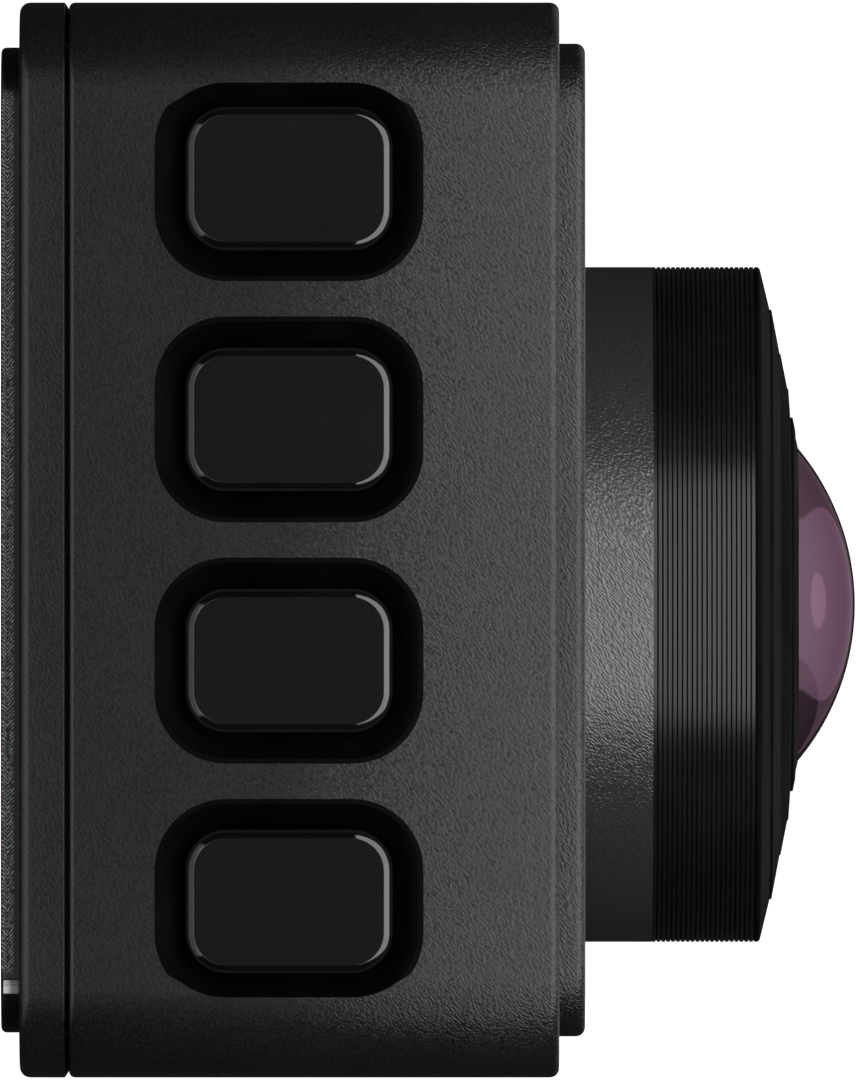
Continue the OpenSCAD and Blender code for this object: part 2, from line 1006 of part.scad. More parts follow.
// Threaded ring that holds the front lens in the barrel
module retaining_ring() {
    color(gloss_black)
        turned([
            [6.14, face_s - 0.66], [7.25, face_s - 0.66], [7.25, face_s - 0.19], [6.14, face_s]
        ]);
}

module front_lens() {
    color([0.35, 0.25, 0.33])
        difference() {
            union() {
                on_lens(face_s - 2.11)
                    cylinder(r = 7.1, h = 1.4);
                lens_blank(face_r, face_s - 1.5, face_s + 5)
                    ball(dome_r, dome_s - dome_r);
            }
            ball(6, dome_s - 7.68);
        }
}

// Barrel bored in steps, one for each lens or group
module lens_barrel() {
    color(gloss_black)
        turned([
            [3.9, 12.8], [barrel_r, 12.8], [barrel_r, 19.5], [9.6, 19.5], [9.6, ledge_s],
            [7.15, ledge_s], [7.15, ledge_s - 0.75], [6.2, ledge_s - 0.75], [6.2, 26.2],
            [5.6, 26.2], [5.6, 23.6], [4.9, 23.6], [4.9, 20.1], [4.5, 20.1], [4.5, 14], [3.9, 14]
        ]);
}

module second_lens() {
    color(lens_tint)
        difference() {
            lens_blank(5.5, 23.7, 28)
                ball(9, 18);
            ball(3.9, 22);
        }
}

module third_lens() {
    color(lens_tint)
        lens_blank(4.8, 20, 24)
            intersection() {
                ball(8, 15.4);
                ball(20, 40.5);
            }
}

module aperture_plate() {
    color(chip_black)
        ring(2.2, 4.85, 20.13, 0.2);
}

// Crown and flint lenses of the cemented pair
module lens_doublet() {
    color(lens_tint) {
        lens_blank(4.4, 16, 21)
            intersection() {
                ball(9, 11);
                ball(7.5, 24.7);
            }
        difference() {
            on_lens(15.6)
                cylinder(r = 4.4, h = 2.8);
            ball(7.52, 24.7);
            ball(12, 3.9);
        }
    }
}

module rear_lens() {
    color(lens_tint)
        lens_blank(4.4, 13, 16)
            intersection() {
                ball(12, 3.6);
                ball(12, 25.4);
            }
}

module lens_spacers() {
    color(chip_black) {
        ring(5.2, 5.55, 25.4, 0.75);
        ring(4.3, 4.85, 22.2, 1.4);
        ring(4, 4.45, 19.1, 0.95);
        ring(4, 4.45, 14.95, 0.6);
    }
}

// A square plate on the lens axis, with round corners
module lens_square(w, h, r, s0, s1) {
    on_lens(s0)
        linear_extrude(s1 - s0)
            outline(w, h, r);
}

module infrared_filter() {
    color([0.6, 0.75, 0.75])
        lens_square(10.6, 9.6, 0.3, 12.52, 12.75);
}

module image_sensor() {
    color([0.15, 0.15, 0.2])
        lens_square(11, 9.5, 0.3, sensor_s + sensor_t, 11.9);
}

module sensor_board() {
    color(board_green)
        difference() {
            lens_square(carrier_w, carrier_w, 2, sensor_s, sensor_s + sensor_t);
            at_carrier_posts(0)
                cylinder(r = short_r + fit_gap, h = sensor_s + 2 * over);
        }
}

// Plate and tube that hold the barrel over the sensor
module lens_carrier() {
    plate_end = carrier_s + carrier_t;
    color([0.2, 0.2, 0.22])
        difference() {
            union() {
                lens_square(carrier_w, carrier_w, 2, carrier_s, plate_end);
                on_lens(carrier_s)
                    cylinder(r = 9.5, h = tube_end_s - carrier_s);
            }
            on_lens(plate_end)
                cylinder(r = barrel_r + fit_gap, h = tube_end_s);
            lens_square(13, 12, 0.5, 0, 11.95);
            lens_square(9.4, 8.4, 0.3, 0, plate_end + over);
            at_carrier_posts(0)
                cylinder(r = short_r + fit_gap, h = plate_end + over);
        }
}

front_housing();
rear_frame();
display_bezel();
bezel_clip();
display_glass();
display_gasket();
front_plate();
seat_disc();
seat_magnet();
case_screws();
short_screws();
lcd_panel();
backlight();
lcd_tray();
inner_frame();
main_board();
processor();
shield_can();
board_chips();
port_shell();
port_tongue();
card_socket();
memory_card();
battery_cell();
satellite_antenna();
radio_antenna();
speaker();
microphone();
screen_ribbon();
sensor_ribbon();
key_ribbon();
key_top();
key_upper();
key_lower();
key_bottom();
plunger_top();
plunger_upper();
plunger_lower();
plunger_bottom();
switch_bodies();
key_mat();
key_board();
key_bracket();
lens_boss();
grip_ring();
bezel_ring();
cone_ring();
retaining_ring();
front_lens();
lens_barrel();
second_lens();
third_lens();
aperture_plate();
lens_doublet();
rear_lens();
lens_spacers();
infrared_filter();
image_sensor();
sensor_board();
lens_carrier();
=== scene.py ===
import bmesh
import bpy
import json
import math
from mathutils import Matrix, Vector


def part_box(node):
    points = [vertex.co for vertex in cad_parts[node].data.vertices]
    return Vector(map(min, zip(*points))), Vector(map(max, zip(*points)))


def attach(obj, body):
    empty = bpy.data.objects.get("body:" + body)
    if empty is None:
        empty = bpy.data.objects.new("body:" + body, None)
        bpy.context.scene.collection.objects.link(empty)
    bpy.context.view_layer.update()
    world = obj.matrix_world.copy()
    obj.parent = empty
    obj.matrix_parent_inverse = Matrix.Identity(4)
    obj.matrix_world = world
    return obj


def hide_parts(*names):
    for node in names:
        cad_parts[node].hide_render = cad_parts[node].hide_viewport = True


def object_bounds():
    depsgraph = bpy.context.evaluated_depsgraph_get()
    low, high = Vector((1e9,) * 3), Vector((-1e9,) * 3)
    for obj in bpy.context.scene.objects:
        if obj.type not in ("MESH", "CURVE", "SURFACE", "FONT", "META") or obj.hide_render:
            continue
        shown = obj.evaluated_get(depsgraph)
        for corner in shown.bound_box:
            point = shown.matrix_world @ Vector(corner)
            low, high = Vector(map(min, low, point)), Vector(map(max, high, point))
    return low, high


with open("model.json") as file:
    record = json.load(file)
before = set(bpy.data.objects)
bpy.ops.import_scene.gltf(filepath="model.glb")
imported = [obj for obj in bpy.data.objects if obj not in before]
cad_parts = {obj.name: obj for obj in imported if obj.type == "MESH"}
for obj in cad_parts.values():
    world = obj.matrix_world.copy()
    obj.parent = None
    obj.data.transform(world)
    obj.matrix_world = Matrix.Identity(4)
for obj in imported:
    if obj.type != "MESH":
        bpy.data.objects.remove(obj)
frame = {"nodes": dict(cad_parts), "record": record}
cadLow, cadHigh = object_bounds()
nodes = frame["nodes"]
mm = 0.001
tiny = 0.002  # mm, for picking faces and edges by place
back = cadHigh.y  # depths are measured forward from here
print("frame loaded,", len(nodes), "nodes")


# camera: a long lens, square to the key side
cameraSet = {"lens": 1300, "sensor": 36, "viewHeight": 40.776, "aside": 0.204, "height": 20.35}

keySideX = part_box("front_housing")[0].x
cameraData = bpy.data.cameras.new("camera")
cameraData.lens = cameraSet["lens"]
cameraData.sensor_width = cameraSet["sensor"]
cameraData.clip_start = 0.05
cameraData.dof.use_dof = False
camera = bpy.data.objects.new("camera", cameraData)
standOff = cameraSet["viewHeight"] * mm * cameraSet["lens"] / cameraSet["sensor"]
camera.location = (keySideX - standOff, cameraSet["aside"] * mm, cameraSet["height"] * mm)
camera.rotation_euler = (math.radians(90), 0, math.radians(-90))
bpy.context.scene.collection.objects.link(camera)
bpy.context.scene.camera = camera
print("camera set")


# materials

class Value:  # a socket, so that sums on it add nodes
    def __init__(self, finish, socket):
        self.finish = finish
        self.socket = socket

    def sum(self, kind, a, b):
        return self.finish.node("ShaderNodeMath", {"operation": kind}, {0: a, 1: b})

    def __add__(self, other):
        return self.sum("ADD", self, other)

    def __radd__(self, other):
        return self.sum("ADD", other, self)

    def __sub__(self, other):
        return self.sum("SUBTRACT", self, other)

    def __rsub__(self, other):
        return self.sum("SUBTRACT", other, self)

    def __mul__(self, other):
        return self.sum("MULTIPLY", self, other)

    def __rmul__(self, other):
        return self.sum("MULTIPLY", other, self)

    def __truediv__(self, other):
        return self.sum("DIVIDE", self, other)

    def __rtruediv__(self, other):
        return self.sum("DIVIDE", other, self)

    def alone(self, kind):  # square root, sine, or the value without its sign
        return self.finish.node("ShaderNodeMath", {"operation": kind}, {0: self})


class Finish:
    def __init__(self, name):
        self.material = bpy.data.materials.new(name)
        self.material.use_nodes = True
        self.tree = self.material.node_tree
        self.tree.nodes.clear()

    def node(self, kind, settings, inputs, out=0):
        made = self.tree.nodes.new(kind)
        for key, value in settings.items():
            setattr(made, key, value)
        for key, value in inputs.items():
            if isinstance(value, Value):
                self.tree.links.new(value.socket, made.inputs[key])
            else:
                made.inputs[key].default_value = value
        return Value(self, made.outputs[out])

    def place(self, turn=(0, 0, 0), scale=(1, 1, 1), shift=(0, 0, 0)):
        where = self.node("ShaderNodeTexCoord", {}, {}, "Object")
        return self.node("ShaderNodeMapping", {}, {
            "Vector": where, "Rotation": turn, "Scale": scale, "Location": shift})

    def axes(self, where):
        return [self.node("ShaderNodeSeparateXYZ", {}, {0: where}, name) for name in "XYZ"]

    def noise(self, where, scale, detail=2.0, rough=0.5, twist=0.0):
        return self.node("ShaderNodeTexNoise", {}, {
            "Vector": where, "Scale": scale, "Detail": detail, "Roughness": rough, "Distortion": twist})

    def spread(self, value, low, high, toLow, toHigh):
        return self.node("ShaderNodeMapRange", {"clamp": True}, {
            "Value": value, "From Min": low, "From Max": high, "To Min": toLow, "To Max": toHigh})

    def blendShades(self, share, first, second):
        return self.node("ShaderNodeMix", {"data_type": "RGBA"}, {0: share, 6: first, 7: second}, 2)

    def bump(self, height, depth):
        return self.node("ShaderNodeBump", {}, {"Height": height, "Distance": depth, "Strength": 1.0})

    def close(self, settings):
        surface = self.node("ShaderNodeBsdfPrincipled", {}, settings, "BSDF")
        output = self.tree.nodes.new("ShaderNodeOutputMaterial")
        self.tree.links.new(surface.socket, output.inputs["Surface"])
        return self.material


def grey(level):
    return (level, level, level * 1.03, 1)


# moulded plastic with a fine slanting leather grain, which calms down towards the rear; its colour carries
# painted shade, darker in the grain's grooves and lighter on its crests, mixed with a random broad tone
def grainPlastic(name, light, dark, roughness, depth, specular=0.5, ior=1.5, calm=1.0):
    grain = {
        "slant": -50, "across": 0.062, "along": 0.18, "twist": 0.25, "pits": 14000, "pitDepth": 0.1,
        "broad": 260, "patch": 90, "vary": 0.015, "deepAt": -2, "calmAt": 6,
    }
    finish = Finish(name)
    turned = finish.place(turn=(math.radians(grain["slant"]), 0, 0))
    across = 1 / (grain["across"] * mm)
    along = 1 / (grain["along"] * mm)
    strokes = finish.node("ShaderNodeVectorMath", {"operation": "MULTIPLY"}, {
        0: turned, 1: (across, along, across)})
    ridges = finish.spread(finish.noise(strokes, 1.0, 0.0, 0.5, grain["twist"]), 0.3, 0.7, 0, 1)
    plain = finish.place()
    pits = finish.noise(plain, grain["pits"])
    broad = finish.noise(plain, grain["broad"], 3.0)
    patch = finish.noise(plain, grain["patch"])
    y = finish.axes(plain)[1]
    fade = finish.spread(y / mm, grain["deepAt"], grain["calmAt"], 1, calm)
    height = (ridges + grain["pitDepth"] * pits) * fade
    # painted shade: the colour follows the grain's ridges, darker in the grooves and lighter on the crests,
    # plus a random broad tone
    grooveShadeAndTone = finish.spread(ridges * 0.6 + broad * 0.4, 0.1, 0.9, 0, 1)
    haze = broad * 0.6 + patch * 0.4
    return finish.close({
        "Base Color": finish.blendShades(grooveShadeAndTone, grey(dark), grey(light)),
        "Roughness": finish.spread(haze, 0.3, 0.7, roughness - grain["vary"], roughness + grain["vary"]),
        "IOR": ior,
        "Specular IOR Level": specular,
        "Normal": finish.bump(height, depth * mm),
    })


# polished or satin plastic, with faint haze
def smoothPlastic(name, level, roughness, specular=0.5):
    finish = Finish(name)
    plain = finish.place()
    haze = finish.noise(plain, 420, 4.0)
    fine = finish.noise(plain, 9000)
    share = finish.spread(haze, 0.3, 0.7, 0, 1)
    return finish.close({
        "Base Color": finish.blendShades(share, grey(level * 0.8), grey(level * 1.2)),
        "Roughness": finish.spread(haze, 0.3, 0.7, roughness * 0.85, roughness * 1.15),
        "Specular IOR Level": specular,
        "Normal": finish.bump(fine, 0.0004 * mm),
    })


# turned and dyed metal: fine lines that run round the lens axis
def turnedMetal(name, level, roughness, lineDepth, specular):
    finish = Finish(name)
    x, y, z = finish.axes(finish.place(shift=(-lensX, 0, -lensZ)))
    radius = (x * x + z * z).alone("SQRT")
    rings = finish.node("ShaderNodeCombineXYZ", {}, {0: radius, 1: y, 2: 0.0})
    lines = finish.noise(rings, 16000)
    haze = finish.noise(finish.place(), 300, 3.0)
    share = finish.spread(haze, 0.3, 0.7, 0, 1)
    return finish.close({
        "Base Color": finish.blendShades(share, grey(level * 0.75), grey(level * 1.25)),
        "Roughness": finish.spread(haze + lines * 0.3, 0.4, 0.9, roughness - 0.03, roughness + 0.05),
        "Specular IOR Level": specular,
        "Normal": finish.bump(lines, lineDepth * mm),
    })


# satin bezel, with a woven V pattern along the middle of its edge; the strands' pale colour is painted glint on
# that real pattern
def bezelPlastic(name):
    weave = {
        "pitch": 0.155, "slope": 1.25, "middle": 0.26, "half": 0.25, "edge": 0.03, "low": 3.9, "high": 37.4,
        "end": 0.3, "wander": 1.4, "depth": 0.012,
    }
    finish = Finish(name)
    plain = finish.place()
    x, y, z = finish.axes(plain)
    depth = (back - y) / mm
    fromMiddle = (depth - weave["middle"]).alone("ABSOLUTE")
    wander = finish.noise(plain, 5000) * weave["wander"]
    turns = (x + z) / (weave["pitch"] * mm) - fromMiddle * (weave["slope"] / weave["pitch"]) + wander
    wave = (turns * (2 * math.pi)).alone("SINE")
    broken = finish.spread(finish.noise(plain, 7000), 0.35, 0.6, 0, 1)
    band = finish.spread(fromMiddle, weave["half"] - weave["edge"], weave["half"], 1, 0)
    lower = finish.spread(z, weave["low"] * mm, (weave["low"] + weave["end"]) * mm, 0, 1)
    upper = finish.spread(z, (weave["high"] - weave["end"]) * mm, weave["high"] * mm, 1, 0)
    strands = finish.spread(wave, 0.0, 0.9, 0, 1) * broken * band * lower * upper
    haze = finish.noise(plain, 500, 3.0)
    return finish.close({
        # painted glint: the strands are a real woven pattern, and their pale colour stands in for their glints
        "Base Color": finish.blendShades(strands, grey(0.003), grey(0.45)),
        "Roughness": finish.spread(haze, 0.3, 0.7, 0.3, 0.38),
        "Normal": finish.bump(strands + 0.05 * haze, weave["depth"] * mm),
    })


# coated front glass: violet, paler towards the rim, where the paleness is a painted sheen of the coating's
# glancing reflection
def coatedGlass(name):
    finish = Finish(name)
    x, _, z = finish.axes(finish.place(shift=(-lensX, 0, -lensZ)))
    # painted sheen: the violet turns paler with distance from the lens axis, out to the rim
    paintedRimSheen = finish.spread((x * x + z * z).alone("SQRT"), 0.0, 6 * mm, 0, 1)
    cloud = finish.noise(finish.place(), 160)
    violet = finish.blendShades(finish.spread(paintedRimSheen * 0.7 + cloud * 0.3, 0.2, 0.9, 0, 1),
                                (0.20, 0.11, 0.16, 1), (0.27, 0.155, 0.225, 1))
    return finish.close({
        "Base Color": violet,
        "Metallic": finish.spread(cloud, 0.3, 0.7, 0.86, 0.9),
        "Roughness": finish.spread(cloud, 0.3, 0.7, 0.05, 0.07),
        "IOR": 1.3,
        "Specular Tint": (0.5, 0.4, 0.47, 1),
    })


# dark cover glass: the screen's lit field is a touch paler than its border
def screenGlass(name):
    field = {"x": 2.0, "halfWidth": 21.2, "halfHeight": 15.4, "z": 20.35, "soft": 0.15}
    finish = Finish(name)
    plain = finish.place()
    x, _, z = finish.axes(plain)
    sideways = (x / mm - field["x"]).alone("ABSOLUTE")
    upward = (z / mm - field["z"]).alone("ABSOLUTE")
    inside = (finish.spread(sideways, field["halfWidth"] - field["soft"], field["halfWidth"], 1, 0)
              * finish.spread(upward, field["halfHeight"] - field["soft"], field["halfHeight"], 1, 0))
    smear = finish.noise(plain, 55, 5.0, 0.6, 1.2)
    return finish.close({
        "Base Color": finish.blendShades(inside, (0.0015, 0.0015, 0.0018, 1), (0.007, 0.008, 0.010, 1)),
        "Roughness": finish.spread(smear, 0.35, 0.75, 0.03, 0.11),
        "Coat Weight": 0.4,
        "Coat Roughness": 0.04,
        "Normal": finish.bump(finish.noise(plain, 30), 0.004 * mm),
    })


# brushed or plated metal
def plainMetal(name, shade, roughness, stretch=(1, 1, 12)):
    finish = Finish(name)
    brushed = finish.place(scale=stretch)
    lines = finish.noise(brushed, 2500, 3.0)
    stain = finish.noise(finish.place(), 200, 3.0)
    darker = tuple(c * 0.72 for c in shade) + (1,)
    share = finish.spread(stain + lines * 0.4, 0.4, 0.9, 0, 1)
    return finish.close({
        "Base Color": finish.blendShades(share, darker, shade + (1,)),
        "Metallic": 1.0,
        "Roughness": finish.spread(lines, 0.3, 0.7, roughness * 0.8, roughness * 1.2),
        "Normal": finish.bump(lines, 0.001 * mm),
    })


# everything else inside: one colour family with mottling and a fine tooth
def mottled(name, shade, roughness, scale, depth, metallic=0.0):
    finish = Finish(name)
    plain = finish.place()
    cloud = finish.noise(plain, scale, 4.0)
    tooth = finish.noise(plain, scale * 12)
    low = tuple(c * 0.65 for c in shade) + (1,)
    return finish.close({
        "Base Color": finish.blendShades(finish.spread(cloud, 0.3, 0.7, 0, 1), low, shade + (1,)),
        "Metallic": metallic,
        "Roughness": finish.spread(tooth, 0.3, 0.7, roughness - 0.06, roughness + 0.06),
        "Normal": finish.bump(tooth + cloud, depth * mm),
    })


# circuit board: solder mask over tracks that show as fine ridges
def boardMask(name):
    finish = Finish(name)
    plain = finish.place()
    cells = finish.node("ShaderNodeTexVoronoi", {"distance": "MANHATTAN", "feature": "F1"}, {
        "Vector": plain, "Scale": 900.0})
    tracks = finish.spread(cells, 0.28, 0.34, 0, 1)
    cloud = finish.noise(plain, 300, 3.0)
    return finish.close({
        "Base Color": finish.blendShades(tracks, (0.012, 0.07, 0.03, 1), (0.02, 0.12, 0.05, 1)),
        "Roughness": finish.spread(cloud, 0.3, 0.7, 0.3, 0.42),
        "Normal": finish.bump(tracks, 0.02 * mm),
    })


# inner glass of the lens
def clearGlass(name):
    finish = Finish(name)
    cloud = finish.noise(finish.place(), 200)
    return finish.close({
        "Base Color": finish.blendShades(cloud, (0.55, 0.68, 0.66, 1), (0.75, 0.82, 0.86, 1)),
        "Roughness": finish.spread(cloud, 0.3, 0.7, 0.03, 0.06),
        "IOR": 1.6,
        "Alpha": 0.45,
    })


lensLow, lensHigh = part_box("front_lens")
lensX = (lensLow.x + lensHigh.x) / 2
lensZ = (lensLow.z + lensHigh.z) / 2

# the two colour levels, 0.014 on the crests and 0.004 in the grooves, are painted shade of the grain
grainShell = grainPlastic("grain shell", 0.014, 0.004, 0.26, 0.015, calm=0.25)
# the lens boss is moulded like the shell; this paler copy of the grain is painted highlight, a lit copy of one
# material
grainBossLitCopy = grainPlastic("grain boss lit copy", 0.045, 0.03, 0.22, 0.012, 1.0, 1.52)
dishGloss = smoothPlastic("dish gloss", 0.0015, 0.34, 0.05)
keyGloss = smoothPlastic("key gloss", 0.002, 0.10, 0.85)
bezelSatin = bezelPlastic("bezel satin")
ringMetal = turnedMetal("ring metal", 0.008, 0.26, 0.0003, 0.5)
coneMetal = turnedMetal("cone metal", 0.006, 0.4, 0.0006, 0.004)
violetGlass = coatedGlass("violet glass")
coverGlass = screenGlass("cover glass")
steel = plainMetal("plated steel", (0.56, 0.56, 0.57), 0.3)

# the record's slots, for the nodes that stay as they are
slotFinishes = {
    "shell_black": grainShell,
    "bezel_black": bezelSatin,
    "key_gloss": keyGloss,
    "ring_black": ringMetal,
    "coated_glass": violetGlass,
    "screen_glass": coverGlass,
    "lens_glass": clearGlass("inner glass"),
    "inner_plastic": mottled("inner plastic", (0.03, 0.03, 0.033), 0.5, 600, 0.002),
    "plated_steel": steel,
    "magnet_nickel": plainMetal("nickel", (0.62, 0.60, 0.56), 0.18),
    "board_green": boardMask("board green"),
    "chip_black": mottled("chip black", (0.02, 0.02, 0.021), 0.42, 1500, 0.002),
    "lcd_dark": smoothPlastic("screen film", 0.012, 0.15),
    "diffuser_white": mottled("diffuser", (0.8, 0.8, 0.76), 0.5, 500, 0.001),
    "ribbon_amber": mottled("ribbon film", (0.55, 0.28, 0.06), 0.3, 900, 0.001),
    "battery_wrap": mottled("battery foil", (0.42, 0.46, 0.52), 0.35, 350, 0.01, 0.6),
    "ceramic_tan": mottled("ceramic", (0.62, 0.5, 0.34), 0.6, 1200, 0.003),
    "soft_black": mottled("soft rubber", (0.02, 0.02, 0.02), 0.75, 900, 0.004),
    "plunger_red": mottled("plunger", (0.42, 0.05, 0.035), 0.4, 900, 0.002),
}
slotOf = {part["node"]: part["material_slot"] for part in frame["record"]["subparts"]}
print("materials ready")


# making shapes, all in mm until they are placed

# local up is the way a face looks: the key side, the front, the underside, the far side
keySide = Matrix(((0, 0, -1), (-1, 0, 0), (0, 1, 0))).to_4x4()
frontSide = Matrix(((1, 0, 0), (0, 0, -1), (0, 1, 0))).to_4x4()
underSide = Matrix(((1, 0, 0), (0, -1, 0), (0, 0, -1))).to_4x4()
farSide = Matrix(((0, 0, 1), (1, 0, 0), (0, 1, 0))).to_4x4()
lensPlace = Matrix.Translation((lensX / mm, back / mm, lensZ / mm)) @ frontSide


def roundOff(bm, edges, radius, segments):
    bmesh.ops.bevel(bm, geom=edges, offset=radius, offset_type="OFFSET", segments=segments, profile=0.5,
                    affect="EDGES", clamp_overlap=False, material=-1)


def edgesAt(bm, level):
    return [e for e in bm.edges if all(abs(v.co.z - level) < tiny for v in e.verts)]


def faceAt(bm, level):
    return [f for f in bm.faces if all(abs(v.co.z - level) < tiny for v in f.verts)]


# a block with round upright corners and, if asked, rounded rims, from one level to another
def slab(width, height, corner, low, high, lowEdge=0, highEdge=0, cornerSteps=14, edgeSteps=5):
    bm = bmesh.new()
    bmesh.ops.create_cube(bm, size=1)
    bmesh.ops.scale(bm, vec=(width, height, high - low), verts=bm.verts)
    bmesh.ops.translate(bm, vec=(0, 0, (low + high) / 2), verts=bm.verts)
    if corner:
        upright = [e for e in bm.edges if abs(e.verts[0].co.z - e.verts[1].co.z) > tiny]
        roundOff(bm, upright, corner, cornerSteps)
    if lowEdge:
        roundOff(bm, edgesAt(bm, low), lowEdge, edgeSteps)
    if highEdge:
        roundOff(bm, edgesAt(bm, high), highEdge, edgeSteps)
    return bm


# a round plug from one level to another
def plug(radius, low, high, sides=64):
    bm = bmesh.new()
    bmesh.ops.create_cone(bm, cap_ends=True, segments=sides, radius1=radius, radius2=radius, depth=high - low)
    bmesh.ops.translate(bm, vec=(0, 0, (low + high) / 2), verts=bm.verts)
    return bm


# a cutter whose lower face is stepped inwards and down, one (inset, drop) at a time
def sink(bm, level, steps):
    for inset, drop in steps:
        bottom = faceAt(bm, level)
        bmesh.ops.inset_region(bm, faces=bottom, thickness=inset, depth=drop, use_even_offset=True)
        level -= drop
    return bm


# a hole's cutter, with a chamfer where it leaves the face at level 0
def hole(bm, chamfer, depth):
    return sink(bm, 0, [(chamfer, chamfer), (tiny / 2, depth)])


def moved(bm, matrix):
    bmesh.ops.transform(bm, matrix=matrix, verts=bm.verts)
    return bm


def together(forms):
    whole = bmesh.new()
    for form in forms:
        spare = bpy.data.meshes.new("spare")
        form.to_mesh(spare)
        form.free()
        whole.from_mesh(spare)
        bpy.data.meshes.remove(spare)
    return whole


# puts a bmesh in place as an object
def standIn(name, bm, finish):
    bmesh.ops.scale(bm, vec=(mm, mm, mm), verts=bm.verts)
    mesh = bpy.data.meshes.new(name)
    bm.to_mesh(mesh)
    bm.free()
    mesh.materials.append(finish)
    obj = bpy.data.objects.new(name, mesh)
    bpy.context.scene.collection.objects.link(obj)
    return obj


# cuts and adds, one after the other; a cut face takes the cutter's finish
def carve(obj, jobs):
    helpers = []
    for number, (operation, bm, finish) in enumerate(jobs):
        helper = standIn(f"{obj.name}_{number}", bm, finish)
        helpers.append(helper)
        step = obj.modifiers.new(f"step{number}", "BOOLEAN")
        step.operation = operation
        step.solver = "EXACT"
        step.material_mode = "TRANSFER"
        step.object = helper
    graph = bpy.context.evaluated_depsgraph_get()
    result = bpy.data.meshes.new_from_object(obj.evaluated_get(graph), depsgraph=graph)
    result.name = obj.name
    obj.modifiers.clear()
    old = obj.data
    obj.data = result
    bpy.data.meshes.remove(old)
    for helper in helpers:
        mesh = helper.data
        bpy.data.objects.remove(helper)
        bpy.data.meshes.remove(mesh)
    return obj


def finishPiece(obj, body, replaced, crisp=32):
    bm = bmesh.new()
    bm.from_mesh(obj.data)
    bmesh.ops.remove_doubles(bm, verts=bm.verts, dist=0.0006 * mm)
    bmesh.ops.recalc_face_normals(bm, faces=bm.faces)
    bm.to_mesh(obj.data)
    bm.free()
    obj.data.shade_smooth()
    obj.data.set_sharp_from_angle(angle=math.radians(crisp))
    normals = obj.modifiers.new("normals", "WEIGHTED_NORMAL")
    normals.keep_sharp = True
    normals.weight = 100
    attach(obj, body)
    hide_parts(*replaced)
    print(obj.name, len(obj.data.polygons), "faces")
    return obj


# a shape turned about the lens axis from [radius, depth] points; an open one starts and ends on the axis
def turnedPiece(name, points, finish, node, soften=0.04, steps=160, crisp=32, closed=True):
    bm = bmesh.new()
    verts = [bm.verts.new((radius, 0, depth)) for radius, depth in points]
    others = verts[1:] + verts[:1] if closed else verts[1:]
    edges = [bm.edges.new(pair) for pair in zip(verts, others)]
    bmesh.ops.spin(bm, geom=verts + edges, cent=(0, 0, 0), axis=(0, 0, 1), angle=math.tau, steps=steps,
                   use_merge=True)
    bmesh.ops.remove_doubles(bm, verts=bm.verts, dist=0.0005)
    if soften:
        sharp = [e for e in bm.edges if e.is_manifold and e.calc_face_angle() > math.radians(crisp)]
        roundOff(bm, sharp, soften, 2)
    moved(bm, lensPlace)
    return finishPiece(standIn(name, bm, finish), "camera", [node], crisp)


def stations(node):
    low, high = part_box(node)
    return (back - high.y) / mm, (back - low.y) / mm


def middle(node):
    low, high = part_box(node)
    return (low + high) / (2 * mm)


def size(node):
    low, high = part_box(node)
    return (high - low) / mm


keyNames = ["top", "upper", "lower", "bottom"]
bodyMiddle = Matrix.Translation((0, back / mm, middle("front_housing").z)) @ frontSide


# housing

housing = {
    "corner": 4.0, "frontEdge": 0.35, "seamEdge": 0.22, "seamGap": 0.05,
    "wall": 1.5, "keyWall": 2.2, "frontWall": 1.5,
    "dish": (10.16, 7.78, 2.7), "dishDepth": 1.2, "rim": 0.07, "rimSteps": 4, "lean": 1.165,
    "window": (7.83, 5.44, 1.55),
    "bossHole": 11.5, "seat": 9.0, "seatSink": 0.6, "discGap": 0.05, "mic": 0.4, "sides": 96, "micSides": 24,
    "slot": (11.6, 1.1), "slotCorner": 0.05, "slotEdge": 0.15, "bottomCut": 2.4,
    "speaker": {"x": -10.5, "depth": 14.4, "radius": 0.5, "pitch": 2.0, "edge": 0.08, "each side": 2},
    "port": (3.3, 9.04), "portCorner": 1.6, "portEdge": 0.2, "portCut": 2.6,
}
through = 3  # mm, enough for a cutter to pass any wall
clear = 0.5  # mm, how far a cutter stands out of the face it cuts
aside = (housing["keyWall"] - housing["wall"]) / 2  # the inside is off centre by this


def keyDish():
    rim = housing["rim"]
    slope = math.atan2(housing["dishDepth"], housing["lean"])
    arcs = [slope * i / housing["rimSteps"] for i in range(housing["rimSteps"] + 1)]
    steps = [(rim * (math.sin(b) - math.sin(a)), rim * (math.cos(a) - math.cos(b)))
             for a, b in zip(arcs, arcs[1:])]
    done = [sum(s[i] for s in steps) for i in (0, 1)]
    steps.append((housing["lean"] - done[0], housing["dishDepth"] - done[1]))
    return sink(slab(*housing["dish"], 0, clear), 0, steps)


def keyCuts():
    dishes, windows = [], []
    for name in keyNames:
        at = middle("key_" + name)
        where = Matrix.Translation((keySideX / mm, at.y, at.z)) @ keySide
        dishes.append(moved(keyDish(), where))
        windows.append(moved(slab(*housing["window"], -through, -1), where))
    return together(dishes), together(windows)


# the round holes in the front: place, radius and sides
def frontHoles(level):
    seat = middle("seat_disc")
    mic = middle("microphone")
    rounds = {
        "lens": (lensX / mm, lensZ / mm, housing["bossHole"], housing["sides"]),
        "seat": (seat.x, seat.z, housing["seat"], housing["sides"]),
        "mic": (mic.x, mic.z, housing["mic"], housing["micSides"]),
    }
    return {name: (Matrix.Translation((x, back / mm - level, z)) @ frontSide, radius, sides)
            for name, (x, z, radius, sides) in rounds.items()}


def frontCuts(level):
    disc = size("seat_disc")
    sunk = housing["seatSink"]
    forms = []
    for name, (where, radius, sides) in frontHoles(level).items():
        bottom = -sunk if name == "seat" else -through
        forms.append(moved(plug(radius, bottom, 1, sides), where))
        if name == "seat":
            pocket = plug(disc.x / 2 + housing["discGap"], -sunk - disc.y, -sunk + 0.1, sides)
            forms.append(moved(pocket, where))
    return together(forms)


